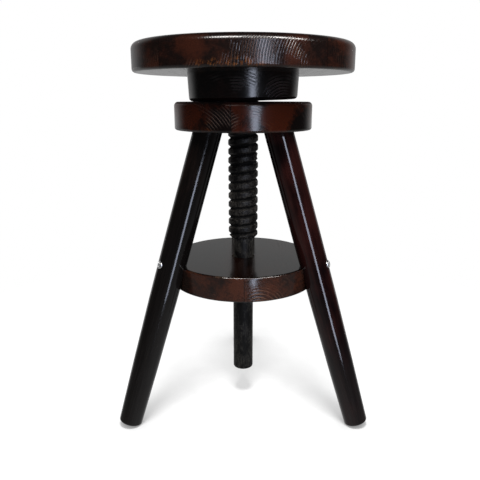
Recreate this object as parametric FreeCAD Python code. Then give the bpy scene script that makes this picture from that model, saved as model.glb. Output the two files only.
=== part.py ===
import FreeCAD, Part

import math
import os

V = FreeCAD.Vector

# A three-legged wooden stool whose round seat is raised and lowered by turning it.
# Under the seat a boss carries a turned wooden screw, which runs in a threaded hub. Three splayed
# legs plug into the hub from below, and a round shelf, screwed to the legs, guides the screw's shank.
# Lengths are in millimetres and angles in degrees. The floor is z = 0 and the front is towards -Y.

# Seat: one disc glued up from boards that run front to back
seat_diameter = 320.0
seat_thickness = 40.0
seat_top_rounding = 9.5
seat_bottom_rounding = 4.5
seat_board_width = 104.0

# Boss under the seat, a little wider at its top. Its underside isn't quite square to the screw: it is
# lowest at one place of its rim, where it comes down on the hub first. Its thickness is on the axis.
boss_top_diameter = 163.5
boss_bottom_diameter = 159.0
boss_thickness = 37.6
boss_rounding = 5.5
boss_underside_rise = 2.1
boss_low_side_angle = 215.0
boss_to_hub_gap = 0.3

# Hub: the nut of the screw, and the head of the legs
hub_diameter = 204.0
hub_thickness = 40.0
hub_top_rounding = 6.0
hub_bottom_rounding = 3.5
hub_underside_height = 437.0
hub_mouth_chamfer = 2.5

# Screw thread, single start and right handed: a sharp V groove between flat crests
thread_diameter = 45.4
thread_pitch = 13.5
thread_depth = 3.8
thread_groove_mouth = 6.2
thread_end_height = 271.0
thread_end_chamfer = 3.6
thread_first_groove = 11.5
thread_radial_clearance = 0.5
thread_flank_clearance = 0.6
thread_spans_per_turn = 12

# Tenon of the screw in the boss, spread by a wedge, and the flat seat of the screw's shoulder
tenon_diameter = 36.0
shoulder_seat_clearance = 0.5
wedge_thickness = 4.0
wedge_length = 26.0

# Plain shank below the thread
shank_diameter = 32.0
shank_end_height = 45.5
shank_end_rounding = 2.5

# Legs: turned, parallel in the hub's sockets and a way below, then drawn in to the foot on a slight
# bow, as a row of cones. They are sawn square to their line, and stand on a small flat worn on the
# inner edge of the foot.
leg_count = 3
first_leg_angle = 90.0
leg_top_diameter = 42.2
leg_foot_diameter = 34.3
leg_taper_start = 160.0
leg_taper_cones = 3
leg_splay = 17.9
leg_circle_radius = 59.0
leg_socket_depth = 24.0
leg_socket_end_gap = 0.5
leg_end_chamfer = 1.5
foot_rounding = 3.5
foot_wear = 1.2

# Shelf: one disc glued up from boards, notched round the legs
shelf_diameter = 227.0
shelf_thickness = 37.0
shelf_underside_height = 203.0
shelf_rounding = 2.5
shelf_board_width = 76.0
shelf_hole_diameter = 35.5
shelf_hole_chamfer = 1.5

# Screws through the legs into the shelf's edge, at right angles to the legs, aimed a little to one
# side of the shelf's middle
shelf_screw_diameter = 6.0
shelf_screw_head_diameter = 12.0
shelf_screw_head_height = 3.6
shelf_screw_head_chamfer = 1.4
shelf_screw_embedment = 38.0
shelf_screw_rise = 0.3
shelf_screw_aim = 8.0
shelf_screw_clearance = 0.25
shelf_screw_seat_depth = 1.2
shelf_screw_seat_margin = 0.5
socket_across_flats = 4.0
socket_depth = 2.2

# Countersunk screws through the boss into the seat
boss_screw_count = 4
boss_screw_diameter = 5.0
boss_screw_head_diameter = 10.0
boss_screw_circle_radius = 58.0
boss_screw_first_angle = 35.0
boss_screw_embedment = 24.0
boss_screw_sink = 0.5
recess_width = 1.2
recess_length = 5.6
recess_depth = 2.0

# Heights and radii that follow from these
hub_top_height = hub_underside_height + hub_thickness
boss_bottom_radius = boss_bottom_diameter / 2
boss_slope = boss_underside_rise / (boss_bottom_radius - boss_rounding)
boss_axis_height = hub_top_height + boss_to_hub_gap + boss_underside_rise
boss_rim_height = boss_axis_height - boss_bottom_radius * boss_slope
seat_bottom_height = boss_axis_height + boss_thickness
seat_top_height = seat_bottom_height + seat_thickness
shelf_top_height = shelf_underside_height + shelf_thickness
thread_radius = thread_diameter / 2
thread_root_radius = thread_radius - thread_depth
thread_flank_slope = thread_groove_mouth / 2 / thread_depth
shoulder_height = boss_axis_height + thread_radius * boss_slope
splay = math.radians(leg_splay)
leg_top_radius = leg_top_diameter / 2
leg_foot_radius = leg_foot_diameter / 2
foot_edge_radius = leg_foot_radius - foot_rounding
foot_edge_drop = foot_edge_radius * math.sin(splay) + foot_rounding * (1 - math.cos(splay))
leg_length = (hub_underside_height + foot_wear - foot_edge_drop) / math.cos(splay)
leg_taper_length = leg_length - leg_taper_start
leg_taper_depth = leg_top_radius - leg_foot_radius
leg_bow_radius = (leg_taper_length ** 2 + leg_taper_depth ** 2) / (2 * leg_taper_depth)
margin = 1.0
same_height = 0.001

UP = V(0, 0, 1)
AXIS = V(0, 0, 0)


def circle_edges(shape, height):
    """The level edges of a shape at one height."""
    found = []
    for edge in shape.Edges:
        box = edge.BoundBox
        if abs(box.ZMax - height) < same_height and abs(box.ZMin - height) < same_height:
            found.append(edge)
    return found


def rounded_disc(bottom_radius, top_radius, bottom, thickness, bottom_rounding, top_rounding):
    """A disc or slight cone on the stool's axis, with its two rims rounded where asked."""
    if bottom_radius == top_radius:
        disc = Part.makeCylinder(top_radius, thickness, V(0, 0, bottom))
    else:
        disc = Part.makeCone(bottom_radius, top_radius, thickness, V(0, 0, bottom))
    if top_rounding > 0:
        disc = disc.makeFillet(top_rounding, circle_edges(disc, bottom + thickness))
    if bottom_rounding > 0:
        disc = disc.makeFillet(bottom_rounding, circle_edges(disc, bottom))
    return disc


def boards(blank, width, count):
    """A blank cut into boards that run along Y, in order from -X to +X."""
    box = blank.BoundBox
    depth = box.YLength + 2 * margin
    height = box.ZLength + 2 * margin
    cuts = [(i - count / 2) * width for i in range(count + 1)]
    cuts[0] = min(cuts[0], box.XMin - margin)
    cuts[-1] = max(cuts[-1], box.XMax + margin)
    pieces = []
    for left, right in zip(cuts, cuts[1:]):
        corner = V(left, box.YMin - margin, box.ZMin - margin)
        slab = Part.makeBox(right - left, depth, height, corner)
        pieces.append(blank.common(slab).Solids[0])
    return pieces


def helix_turn(radius, start, pitch):
    """One turn of a right-handed helix about the stool's axis, from the +X side round to it again."""
    spans = thread_spans_per_turn
    points = []
    for i in range(spans + 1):
        turn = 2 * math.pi * i / spans
        points.append(V(radius * math.cos(turn), radius * math.sin(turn), start + pitch * i / spans))
    tangent = V(0, 2 * math.pi * radius, pitch)
    curve = Part.BSplineCurve()
    curve.interpolate(
        Points=points,
        Parameters=[i / spans for i in range(spans + 1)],
        InitialTangent=tangent,
        FinalTangent=tangent,
        Scale=False,
    )
    return curve.toShape()


def threaded_rod(crest_radius, root_radius, mouth, pitch, groove_height, low, high):
    """A solid rod with one right-handed V groove, cut square at both ends.

    mouth is the groove's width at the crest, and groove_height is where the groove's middle
    crosses the +X side. The rod's side is built turn by turn from ruled strips between
    helices, closed past each end by a helicoid and a profile, and then cut to length."""
    profile = [
        (root_radius, 0.0),
        (crest_radius, mouth / 2),
        (crest_radius, pitch - mouth / 2),
        (root_radius, pitch),
    ]
    first = math.floor((low - groove_height) / pitch) - 1
    last = math.ceil((high - groove_height) / pitch) + 1
    faces = []
    for turn in range(first, last):
        start = groove_height + turn * pitch
        for (radius_a, rise_a), (radius_b, rise_b) in zip(profile, profile[1:]):
            lower = helix_turn(radius_a, start + rise_a, pitch)
            upper = helix_turn(radius_b, start + rise_b, pitch)
            faces += Part.makeRuledSurface(lower, upper).Faces
    for turn in (first, last):
        start = groove_height + turn * pitch
        axis = Part.LineSegment(V(0, 0, start), V(0, 0, start + pitch)).toShape()
        faces += Part.makeRuledSurface(axis, helix_turn(root_radius, start, pitch)).Faces
        corners = [V(0, 0, start)]
        corners += [V(radius, 0, start + rise) for radius, rise in profile]
        corners += [V(0, 0, start + pitch), V(0, 0, start)]
        faces.append(Part.Face(Part.makePolygon(corners)))
    shell = Part.makeShell(faces)
    shell.sewShape()
    rod = Part.Solid(shell)
    if rod.Volume < 0:
        rod.reverse()
    reach = crest_radius + margin
    slab = Part.makeBox(2 * reach, 2 * reach, high - low, V(-reach, -reach, low))
    return rod.common(slab).Solids[0]


def screw_spindle():
    """The turned wooden screw: its thread, the chamfer at its lower end and its tenon."""
    rod = threaded_rod(
        thread_radius,
        thread_root_radius,
        thread_groove_mouth,
        thread_pitch,
        thread_end_height + thread_first_groove,
        thread_end_height,
        shoulder_height,
    )
    body = Part.makeCylinder(
        thread_radius + margin,
        shoulder_height - thread_end_height - thread_end_chamfer,
        V(0, 0, thread_end_height + thread_end_chamfer),
    )
    nose = Part.makeCone(
        thread_radius - thread_end_chamfer,
        thread_radius + margin,
        thread_end_chamfer + margin,
        V(0, 0, thread_end_height),
    )
    rod = rod.common(body.fuse(nose))
    return rod.fuse(tenon()).removeSplitter().cut(tenon_wedge()).Solids[0]


def tenon():
    """The tenon from the screw's shoulder to the seat, before its wedge is driven in."""
    length = seat_bottom_height - shoulder_height
    return Part.makeCylinder(tenon_diameter / 2, length, V(0, 0, shoulder_height))


def tenon_wedge():
    """The wedge that spreads the top of the tenon, its thin edge down."""
    top = seat_bottom_height
    half = wedge_thickness / 2
    corners = [V(-half, 0, top), V(half, 0, top), V(0, 0, top - wedge_length), V(-half, 0, top)]
    section = Part.Face(Part.makePolygon(corners))
    section.translate(V(0, -tenon_diameter, 0))
    prism = section.extrude(V(0, 2 * tenon_diameter, 0))
    return prism.common(tenon()).Solids[0]


def spindle_shank():
    """The plain lower end of the turned screw, which the shelf guides."""
    length = thread_end_height - shank_end_height
    shank = Part.makeCylinder(shank_diameter / 2, length, V(0, 0, shank_end_height))
    return shank.makeFillet(shank_end_rounding, circle_edges(shank, shank_end_height))


def ring_of(shape, count, first_angle):
    """Copies of a shape about the stool's axis."""
    copies = []
    for i in range(count):
        copy = shape.copy()
        copy.rotate(AXIS, UP, first_angle + i * 360.0 / count)
        copies.append(copy)
    return copies


def screw_spots():
    """Where the boss screws stand, two on each side of the middle joint of the seat."""
    spots = []
    for i in range(boss_screw_count):
        side = 0 if i < boss_screw_count / 2 else 180
        sign = 1 if i % 2 == 0 else -1
        angle = math.radians(side + sign * boss_screw_first_angle)
        x = boss_screw_circle_radius * math.cos(angle)
        y = boss_screw_circle_radius * math.sin(angle)
        spots.append((x, y))
    return spots


def boss_underside_height(x, y):
    """The height of the boss's sloping underside at a place."""
    angle = math.radians(boss_low_side_angle)
    return boss_axis_height - boss_slope * (x * math.cos(angle) + y * math.sin(angle))


def boss_screw(x, y):
    """One countersunk screw, head down, with a plain cross recess."""
    head_bottom = boss_underside_height(x, y) + boss_screw_sink
    head_height = (boss_screw_head_diameter - boss_screw_diameter) / 2
    length = boss_thickness + boss_screw_embedment - boss_screw_sink
    head = Part.makeCone(
        boss_screw_head_diameter / 2, boss_screw_diameter / 2, head_height, V(0, 0, head_bottom)
    )
    body = Part.makeCylinder(boss_screw_diameter / 2, length, V(0, 0, head_bottom))
    screw = head.fuse(body).removeSplitter()
    for along, across in ((recess_length, recess_width), (recess_width, recess_length)):
        corner = V(-along / 2, -across / 2, head_bottom - margin)
        screw = screw.cut(Part.makeBox(along, across, recess_depth + margin, corner))
    screw.translate(V(x, y, 0))
    return screw.Solids[0]


def boss_screw_hole(x, y):
    """The hole that a boss screw fills, open to the boss's underside."""
    head_bottom = boss_underside_height(x, y) + boss_screw_sink
    head_height = (boss_screw_head_diameter - boss_screw_diameter) / 2
    length = boss_thickness + boss_screw_embedment - boss_screw_sink
    head = Part.makeCone(
        boss_screw_head_diameter / 2, boss_screw_diameter / 2, head_height, V(0, 0, head_bottom)
    )
    body = Part.makeCylinder(boss_screw_diameter / 2, length, V(0, 0, head_bottom))
    mouth_depth = boss_screw_sink + margin
    mouth = Part.makeCylinder(
        boss_screw_head_diameter / 2, mouth_depth, V(0, 0, head_bottom - mouth_depth)
    )
    hole = head.fuse([body, mouth]).removeSplitter()
    hole.translate(V(x, y, 0))
    return hole


def seat():
    """The seat's boards, bored for the boss screws."""
    radius = seat_diameter / 2
    blank = rounded_disc(
        radius, radius, seat_bottom_height, seat_thickness, seat_bottom_rounding, seat_top_rounding
    )
    for x, y in screw_spots():
        blank = blank.cut(boss_screw_hole(x, y))
    count = 2 * math.ceil(seat_diameter / 2 / seat_board_width)
    return boards(blank, seat_board_width, count)


def seat_boss():
    """The boss with its sloping underside, bored for the tenon, the shoulder and the boss screws."""
    height = seat_bottom_height - boss_rim_height
    boss = Part.makeCone(boss_bottom_radius, boss_top_diameter / 2, height, V(0, 0, boss_rim_height))
    reach = boss_top_diameter
    below = Part.makeBox(2 * reach, 2 * reach, reach, V(-reach, -reach, -reach))
    below.rotate(AXIS, V(0, 1, 0), math.degrees(math.atan(boss_slope)))
    below.rotate(AXIS, UP, boss_low_side_angle)
    below.translate(V(0, 0, boss_axis_height))
    boss = boss.cut(below)
    underside = min(boss.Faces, key=lambda face: face.CenterOfMass.z)
    boss = boss.makeFillet(boss_rounding, underside.Edges)
    bore = Part.makeCylinder(tenon_diameter / 2, height + 2 * margin, V(0, 0, boss_rim_height - margin))
    shoulder_seat = Part.makeCylinder(
        thread_radius + shoulder_seat_clearance,
        shoulder_height - boss_rim_height + margin,
        V(0, 0, boss_rim_height - margin),
    )
    boss = boss.cut([bore, shoulder_seat])
    for x, y in screw_spots():
        boss = boss.cut(boss_screw_hole(x, y))
    return boss.Solids[0]


def to_leg(shape):
    """Moves a shape made about the z axis, with z = 0 at the hub's underside, onto the +X leg's line."""
    placed = shape.copy()
    placed.rotate(AXIS, V(0, 1, 0), -leg_splay)
    placed.translate(V(leg_circle_radius, 0, hub_underside_height))
    return placed


def leg_radius_at(drop):
    """The leg's radius at a distance along its line below the hub's underside."""
    run = max(0, drop - leg_taper_start)
    return leg_top_radius - leg_bow_radius + math.sqrt(leg_bow_radius ** 2 - run ** 2)


def shelf_screw_drop():
    """How far along the leg's line the shelf screw crosses it, below the hub's underside."""
    return (hub_underside_height - shelf_top_height - shelf_screw_rise) / math.cos(splay)


def on_screw_line(shape):
    """Moves a shape made along z, head up, onto the line of the +X leg's shelf screw.

    There z = 0 is the leg's centre line, and +z points out of the leg."""
    placed = shape.copy()
    placed.rotate(AXIS, V(0, 1, 0), 90)
    placed.rotate(AXIS, UP, shelf_screw_aim)
    placed.translate(V(0, 0, -shelf_screw_drop()))
    return to_leg(placed)


def screw_seat_height():
    """The height of the screw head's seat above the leg's centre line."""
    return leg_radius_at(shelf_screw_drop()) - shelf_screw_seat_depth


def screw_length_below_axis():
    """How far the screw reaches past the leg's centre line into the shelf."""
    return leg_radius_at(shelf_screw_drop()) + shelf_screw_embedment


def shelf_screw():
    """One button-headed screw with a hexagon socket, on the +X leg."""
    seat_height = screw_seat_height()
    reach = screw_length_below_axis()
    body = Part.makeCylinder(shelf_screw_diameter / 2, seat_height + reach, V(0, 0, -reach))
    head = Part.makeCylinder(
        shelf_screw_head_diameter / 2, shelf_screw_head_height, V(0, 0, seat_height)
    )
    crown = seat_height + shelf_screw_head_height
    head = head.makeChamfer(shelf_screw_head_chamfer, circle_edges(head, crown))
    corner_radius = socket_across_flats / math.sqrt(3)
    corners = []
    for i in range(7):
        turn = math.radians(60 * i)
        corners.append(V(corner_radius * math.cos(turn), corner_radius * math.sin(turn), crown))
    socket = Part.Face(Part.makePolygon(corners)).extrude(V(0, 0, -socket_depth))
    screw = head.fuse(body).removeSplitter().cut(socket)
    return on_screw_line(screw)


def turned_leg():
    """A leg made about the z axis, with z = 0 at the hub's underside, before its foot is worn flat."""
    outline = [
        V(0, 0, -leg_length),
        V(0, 0, leg_socket_depth),
        V(leg_top_radius - leg_end_chamfer, 0, leg_socket_depth),
        V(leg_top_radius, 0, leg_socket_depth - leg_end_chamfer),
    ]
    for i in range(leg_taper_cones + 1):
        drop = leg_taper_start + leg_taper_length * i / leg_taper_cones
        outline.append(V(leg_radius_at(drop), 0, -drop))
    outline.append(outline[0])
    half_section = Part.Face(Part.makePolygon(outline))
    turned = half_section.revolve(AXIS, UP, 360)
    return turned.makeFillet(foot_rounding, circle_edges(turned, -leg_length))


def leg():
    """The leg on the +X side, bored for its shelf screw and worn level where it meets the floor."""
    turned = to_leg(turned_leg())
    reach = leg_circle_radius + leg_length
    floor = Part.makeBox(reach, reach, reach, V(0, -reach / 2, -reach))
    turned = turned.cut(floor)
    radius = leg_radius_at(shelf_screw_drop())
    hole = Part.makeCylinder(
        shelf_screw_diameter / 2 + shelf_screw_clearance, 4 * radius, V(0, 0, -2 * radius)
    )
    spot = Part.makeCylinder(
        shelf_screw_head_diameter / 2 + shelf_screw_seat_margin, radius, V(0, 0, screw_seat_height())
    )
    return turned.cut([on_screw_line(hole), on_screw_line(spot)]).Solids[0]


def leg_socket():
    """The void in the hub for the +X leg."""
    below = leg_top_radius * math.tan(splay) + margin
    length = below + leg_socket_depth + leg_socket_end_gap
    return to_leg(Part.makeCylinder(leg_top_radius, length, V(0, 0, -below)))


def hub():
    """The hub, with its internal thread, the chamfers at the thread's mouths and the leg sockets."""
    radius = hub_diameter / 2
    disc = rounded_disc(
        radius, radius, hub_underside_height, hub_thickness, hub_bottom_rounding, hub_top_rounding
    )
    wall_radius = thread_radius + thread_radial_clearance
    ridge_tip_radius = thread_root_radius + thread_flank_clearance
    tap = threaded_rod(
        wall_radius,
        ridge_tip_radius,
        2 * (wall_radius - ridge_tip_radius) * thread_flank_slope,
        thread_pitch,
        thread_end_height + thread_first_groove,
        hub_underside_height - margin,
        hub_top_height + margin,
    )
    wide = wall_radius + hub_mouth_chamfer
    narrow = wall_radius - thread_depth
    depth = wide - narrow
    lower = Part.makeCone(wide, narrow, depth, V(0, 0, hub_underside_height))
    upper = Part.makeCone(narrow, wide, depth, V(0, 0, hub_top_height - depth))
    tools = [tap, lower, upper] + ring_of(leg_socket(), leg_count, first_leg_angle)
    for tool in tools:
        disc = disc.cut(tool)
    return disc.Solids[0]


def shelf(legs):
    """The shelf's boards, notched round the legs and bored for the shank and the screws."""
    radius = shelf_diameter / 2
    disc = rounded_disc(
        radius, radius, shelf_underside_height, shelf_thickness, shelf_rounding, shelf_rounding
    )
    bore = Part.makeCylinder(
        shelf_hole_diameter / 2, shelf_thickness + 2 * margin, V(0, 0, shelf_underside_height - margin)
    )
    disc = disc.cut(bore)
    rims = []
    for height in (shelf_underside_height, shelf_top_height):
        for edge in circle_edges(disc, height):
            if edge.BoundBox.XLength < shelf_hole_diameter + margin:
                rims.append(edge)
    disc = disc.makeChamfer(shelf_hole_chamfer, rims)
    length = 2 * screw_length_below_axis()
    pilot = Part.makeCylinder(shelf_screw_diameter / 2, length, V(0, 0, -length / 2))
    for one_leg in legs:
        disc = disc.cut(one_leg)
    for pilot_hole in ring_of(on_screw_line(pilot), leg_count, first_leg_angle):
        disc = disc.cut(pilot_hole)
    count = 2 * math.ceil((shelf_diameter / shelf_board_width - 1) / 2) + 1
    return boards(disc, shelf_board_width, count)


def build():
    """Every piece of the stool by node name, with the screw's axis on x = y = 0."""
    legs = ring_of(leg(), leg_count, first_leg_angle)
    nodes = {}
    for i, board in enumerate(seat()):
        nodes["seat_board_%d" % (i + 1)] = board
    nodes["seat_boss"] = seat_boss()
    nodes["boss_screws"] = Part.makeCompound([boss_screw(x, y) for x, y in screw_spots()])
    nodes["screw_spindle"] = screw_spindle()
    nodes["spindle_wedge"] = tenon_wedge()
    nodes["spindle_shank"] = spindle_shank()
    nodes["hub"] = hub()
    for name, one_leg in zip(("leg_rear", "leg_front_left", "leg_front_right"), legs):
        nodes[name] = one_leg
    for i, board in enumerate(shelf(legs)):
        nodes["shelf_board_%d" % (i + 1)] = board
    nodes["shelf_screws"] = Part.makeCompound(ring_of(shelf_screw(), leg_count, first_leg_angle))
    return nodes


def main():
    """Builds the pieces, puts the origin at the middle of the whole stool's base, and writes them."""
    nodes = build()
    lows = []
    highs = []
    for shape in nodes.values():
        box = shape.optimalBoundingBox(False, False)
        lows.append(box.YMin)
        highs.append(box.YMax)
    shift = -(min(lows) + max(highs)) / 2
    os.makedirs("parts", exist_ok=True)
    for name, shape in nodes.items():
        shape.translate(V(0, shift, 0))
        shape.exportStep("parts/%s.step" % name)
        sound = "valid" if shape.isValid() else "NOT VALID"
        print(name, len(shape.Solids), "solids,", round(shape.Volume / 1000, 3), "cm3,", sound)
    print("screw axis at y =", round(shift, 4), "mm; seat top at z =", seat_top_height, "mm")
    foot = min(nodes["leg_rear"].Faces, key=lambda face: face.CenterOfMass.z)
    centre = foot.CenterOfMass
    print("worn flat of the rear foot, y =", round(centre.y, 4), "area", round(foot.Area, 2), "mm2")


main()
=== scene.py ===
import math
from typing import NamedTuple

import bmesh
import bpy
from mathutils import Matrix, Vector, noise


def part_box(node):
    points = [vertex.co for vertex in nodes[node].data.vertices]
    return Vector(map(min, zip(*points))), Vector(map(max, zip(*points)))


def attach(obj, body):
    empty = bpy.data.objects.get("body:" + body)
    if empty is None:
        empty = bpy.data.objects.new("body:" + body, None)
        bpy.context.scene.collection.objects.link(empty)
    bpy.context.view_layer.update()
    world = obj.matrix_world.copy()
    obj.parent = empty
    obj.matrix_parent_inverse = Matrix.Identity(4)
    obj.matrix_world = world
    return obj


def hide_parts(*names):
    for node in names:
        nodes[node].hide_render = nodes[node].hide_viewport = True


# The looks of a three-legged wooden stool whose round seat stands on a turned wooden screw.
# Lengths are in metres and angles in degrees. The front is towards -Y.

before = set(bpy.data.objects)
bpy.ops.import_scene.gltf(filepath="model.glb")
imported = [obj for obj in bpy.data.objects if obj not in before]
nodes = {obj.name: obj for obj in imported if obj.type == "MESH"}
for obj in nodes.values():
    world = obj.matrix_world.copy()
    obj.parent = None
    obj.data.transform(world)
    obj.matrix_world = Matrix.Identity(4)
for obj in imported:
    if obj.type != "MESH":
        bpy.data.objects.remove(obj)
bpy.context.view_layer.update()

# Places read from the frame
shank_low, shank_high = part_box("spindle_shank")
spindle_low, spindle_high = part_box("screw_spindle")
boss_low, boss_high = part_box("seat_boss")
hub_low, hub_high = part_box("hub")
shelf_low, shelf_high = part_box("shelf_board_2")
seat_low, seat_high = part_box("seat_board_2")
AXIS_Y = (shank_low.y + shank_high.y) / 2
AXIS = Vector((0.0, AXIS_Y, 0.0))
THREAD_RADIUS = (spindle_high.x - spindle_low.x) / 2
SHANK_RADIUS = (shank_high.x - shank_low.x) / 2

# The stool's own sizes, as in its model
SEAT_RADIUS = 0.160
SEAT_BOARD_WIDTH = 0.104
SHELF_RADIUS = 0.1135
LEG_ANGLES = {"leg_rear": 90.0, "leg_front_left": 210.0, "leg_front_right": 330.0}
LEG_SPLAY = 17.9
LEG_CIRCLE_RADIUS = 0.0590
LEG_RADIUS_AT_SCREW = 0.0210
THREAD_PITCH = 0.0135
THREAD_DEPTH = 0.0038
THREAD_GROOVE_MOUTH = 0.0062
THREAD_END_CHAMFER = 0.0036
THREAD_FIRST_GROOVE = 0.0115
SHANK_END_ROUNDING = 0.0025
SHOULDER_ABOVE_HUB = 0.003044
SHOULDER_HEIGHT = hub_high.z + SHOULDER_ABOVE_HUB
TENON_RADIUS = 0.018
WEDGE_THICKNESS = 0.004
WEDGE_LENGTH = 0.026
SHELF_SCREW_RADIUS = 0.003
SHELF_SCREW_HEAD_RADIUS = 0.006
SHELF_SCREW_HEAD_HEIGHT = 0.0036
SHELF_SCREW_SEAT_DEPTH = 0.0012
SHELF_SCREW_EMBEDMENT = 0.038
SHELF_SCREW_RISE = 0.0003
SHELF_SCREW_AIM = 8.0
SOCKET_ACROSS_FLATS = 0.004
SOCKET_DEPTH = 0.0022

# The photograph's camera
PHOTO_SIZE = 480
FOCAL_LENGTH_IN_PIXELS = 527.9
SENSOR_WIDTH_IN_MM = 36.0
CAMERA_DISTANCE = 0.8099
CAMERA_HEIGHT = 0.4815
CAMERA_PITCH = 15.0
AXIS_PIXEL_OFFSET = 3.15

# Stains: dark where the wood took most, warm where it took least, line on the lines of the rings
PLUM = {"dark": (0.0046, 0.0024, 0.0021), "warm": (0.022, 0.0062, 0.0034)}
BLACK = {"dark": (0.0016, 0.0009, 0.0009), "warm": (0.0090, 0.0028, 0.0021), "line": (0.045, 0.031, 0.032)}
RUSSET = {"dark": (0.0040, 0.0018, 0.0014), "warm": (0.056, 0.0096, 0.0031), "line": (0.112, 0.076, 0.060)}
BROWN = {"dark": (0.0068, 0.0038, 0.0031), "warm": (0.033, 0.0100, 0.0052), "line": (0.120, 0.062, 0.040)}
SOOTY = {"dark": (0.0066, 0.0053, 0.0049), "warm": (0.024, 0.0135, 0.0108), "line": (0.040, 0.026, 0.021)}
RUDDY = {"dark": (0.0060, 0.0022, 0.0026), "warm": (0.036, 0.0090, 0.0075), "line": (0.055, 0.022, 0.017)}
BARE = {"dark": (0.45, 0.3, 0.18), "warm": (0.6, 0.42, 0.26), "line": (0.7, 0.5, 0.3)}
MATT_BLACK = {"dark": (0.0022, 0.0017, 0.0017), "warm": (0.0135, 0.0105, 0.0092)}
MATT_GREY = {"dark": (0.0024, 0.0021, 0.0020), "warm": (0.0130, 0.0114, 0.0104)}

# Marks on the stain, and a grey of painted light
RUBBED_THIN = (0.14, 0.048, 0.011)
WORN_RIM = (0.12, 0.062, 0.028)
# Painted light: a grey that stands for light bounced up from the floor onto low parts
PAINTED_FLOOR_BOUNCE = (0.0200, 0.0176, 0.0166)
OLD_GLUE = (0.002, 0.001, 0.001)
SCUFF = (0.056, 0.051, 0.043)
TORN_FIBRES = (0.16, 0.14, 0.12)

# Where the two lines lie in a year's ring, as (share of the year, strength)
PALE_LINE = ((0.0, 0.0), (0.54, 0.0), (0.70, 0.4), (0.79, 1.0), (0.90, 1.0), (1.0, 0.0))
SUNKEN_LINE = ((0.0, 0.0), (0.10, 0.2), (0.22, 1.0), (0.42, 1.0), (0.58, 0.0))

# The colours of the lamps
WHITE = (1.0, 1.0, 1.0)
WINDOW_BLUE = (0.74, 0.81, 1.0)
GLINT_BLUE = (0.7, 0.8, 1.0)
WARM_WHITE = (1.0, 0.98, 0.96)
WARMER_WHITE = (1.0, 0.97, 0.94)

UPRIGHT = (0.0, 0.0, 1.0)
FRONT_TO_BACK = (0.0, 1.0, 0.0)


# Node graphs


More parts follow.
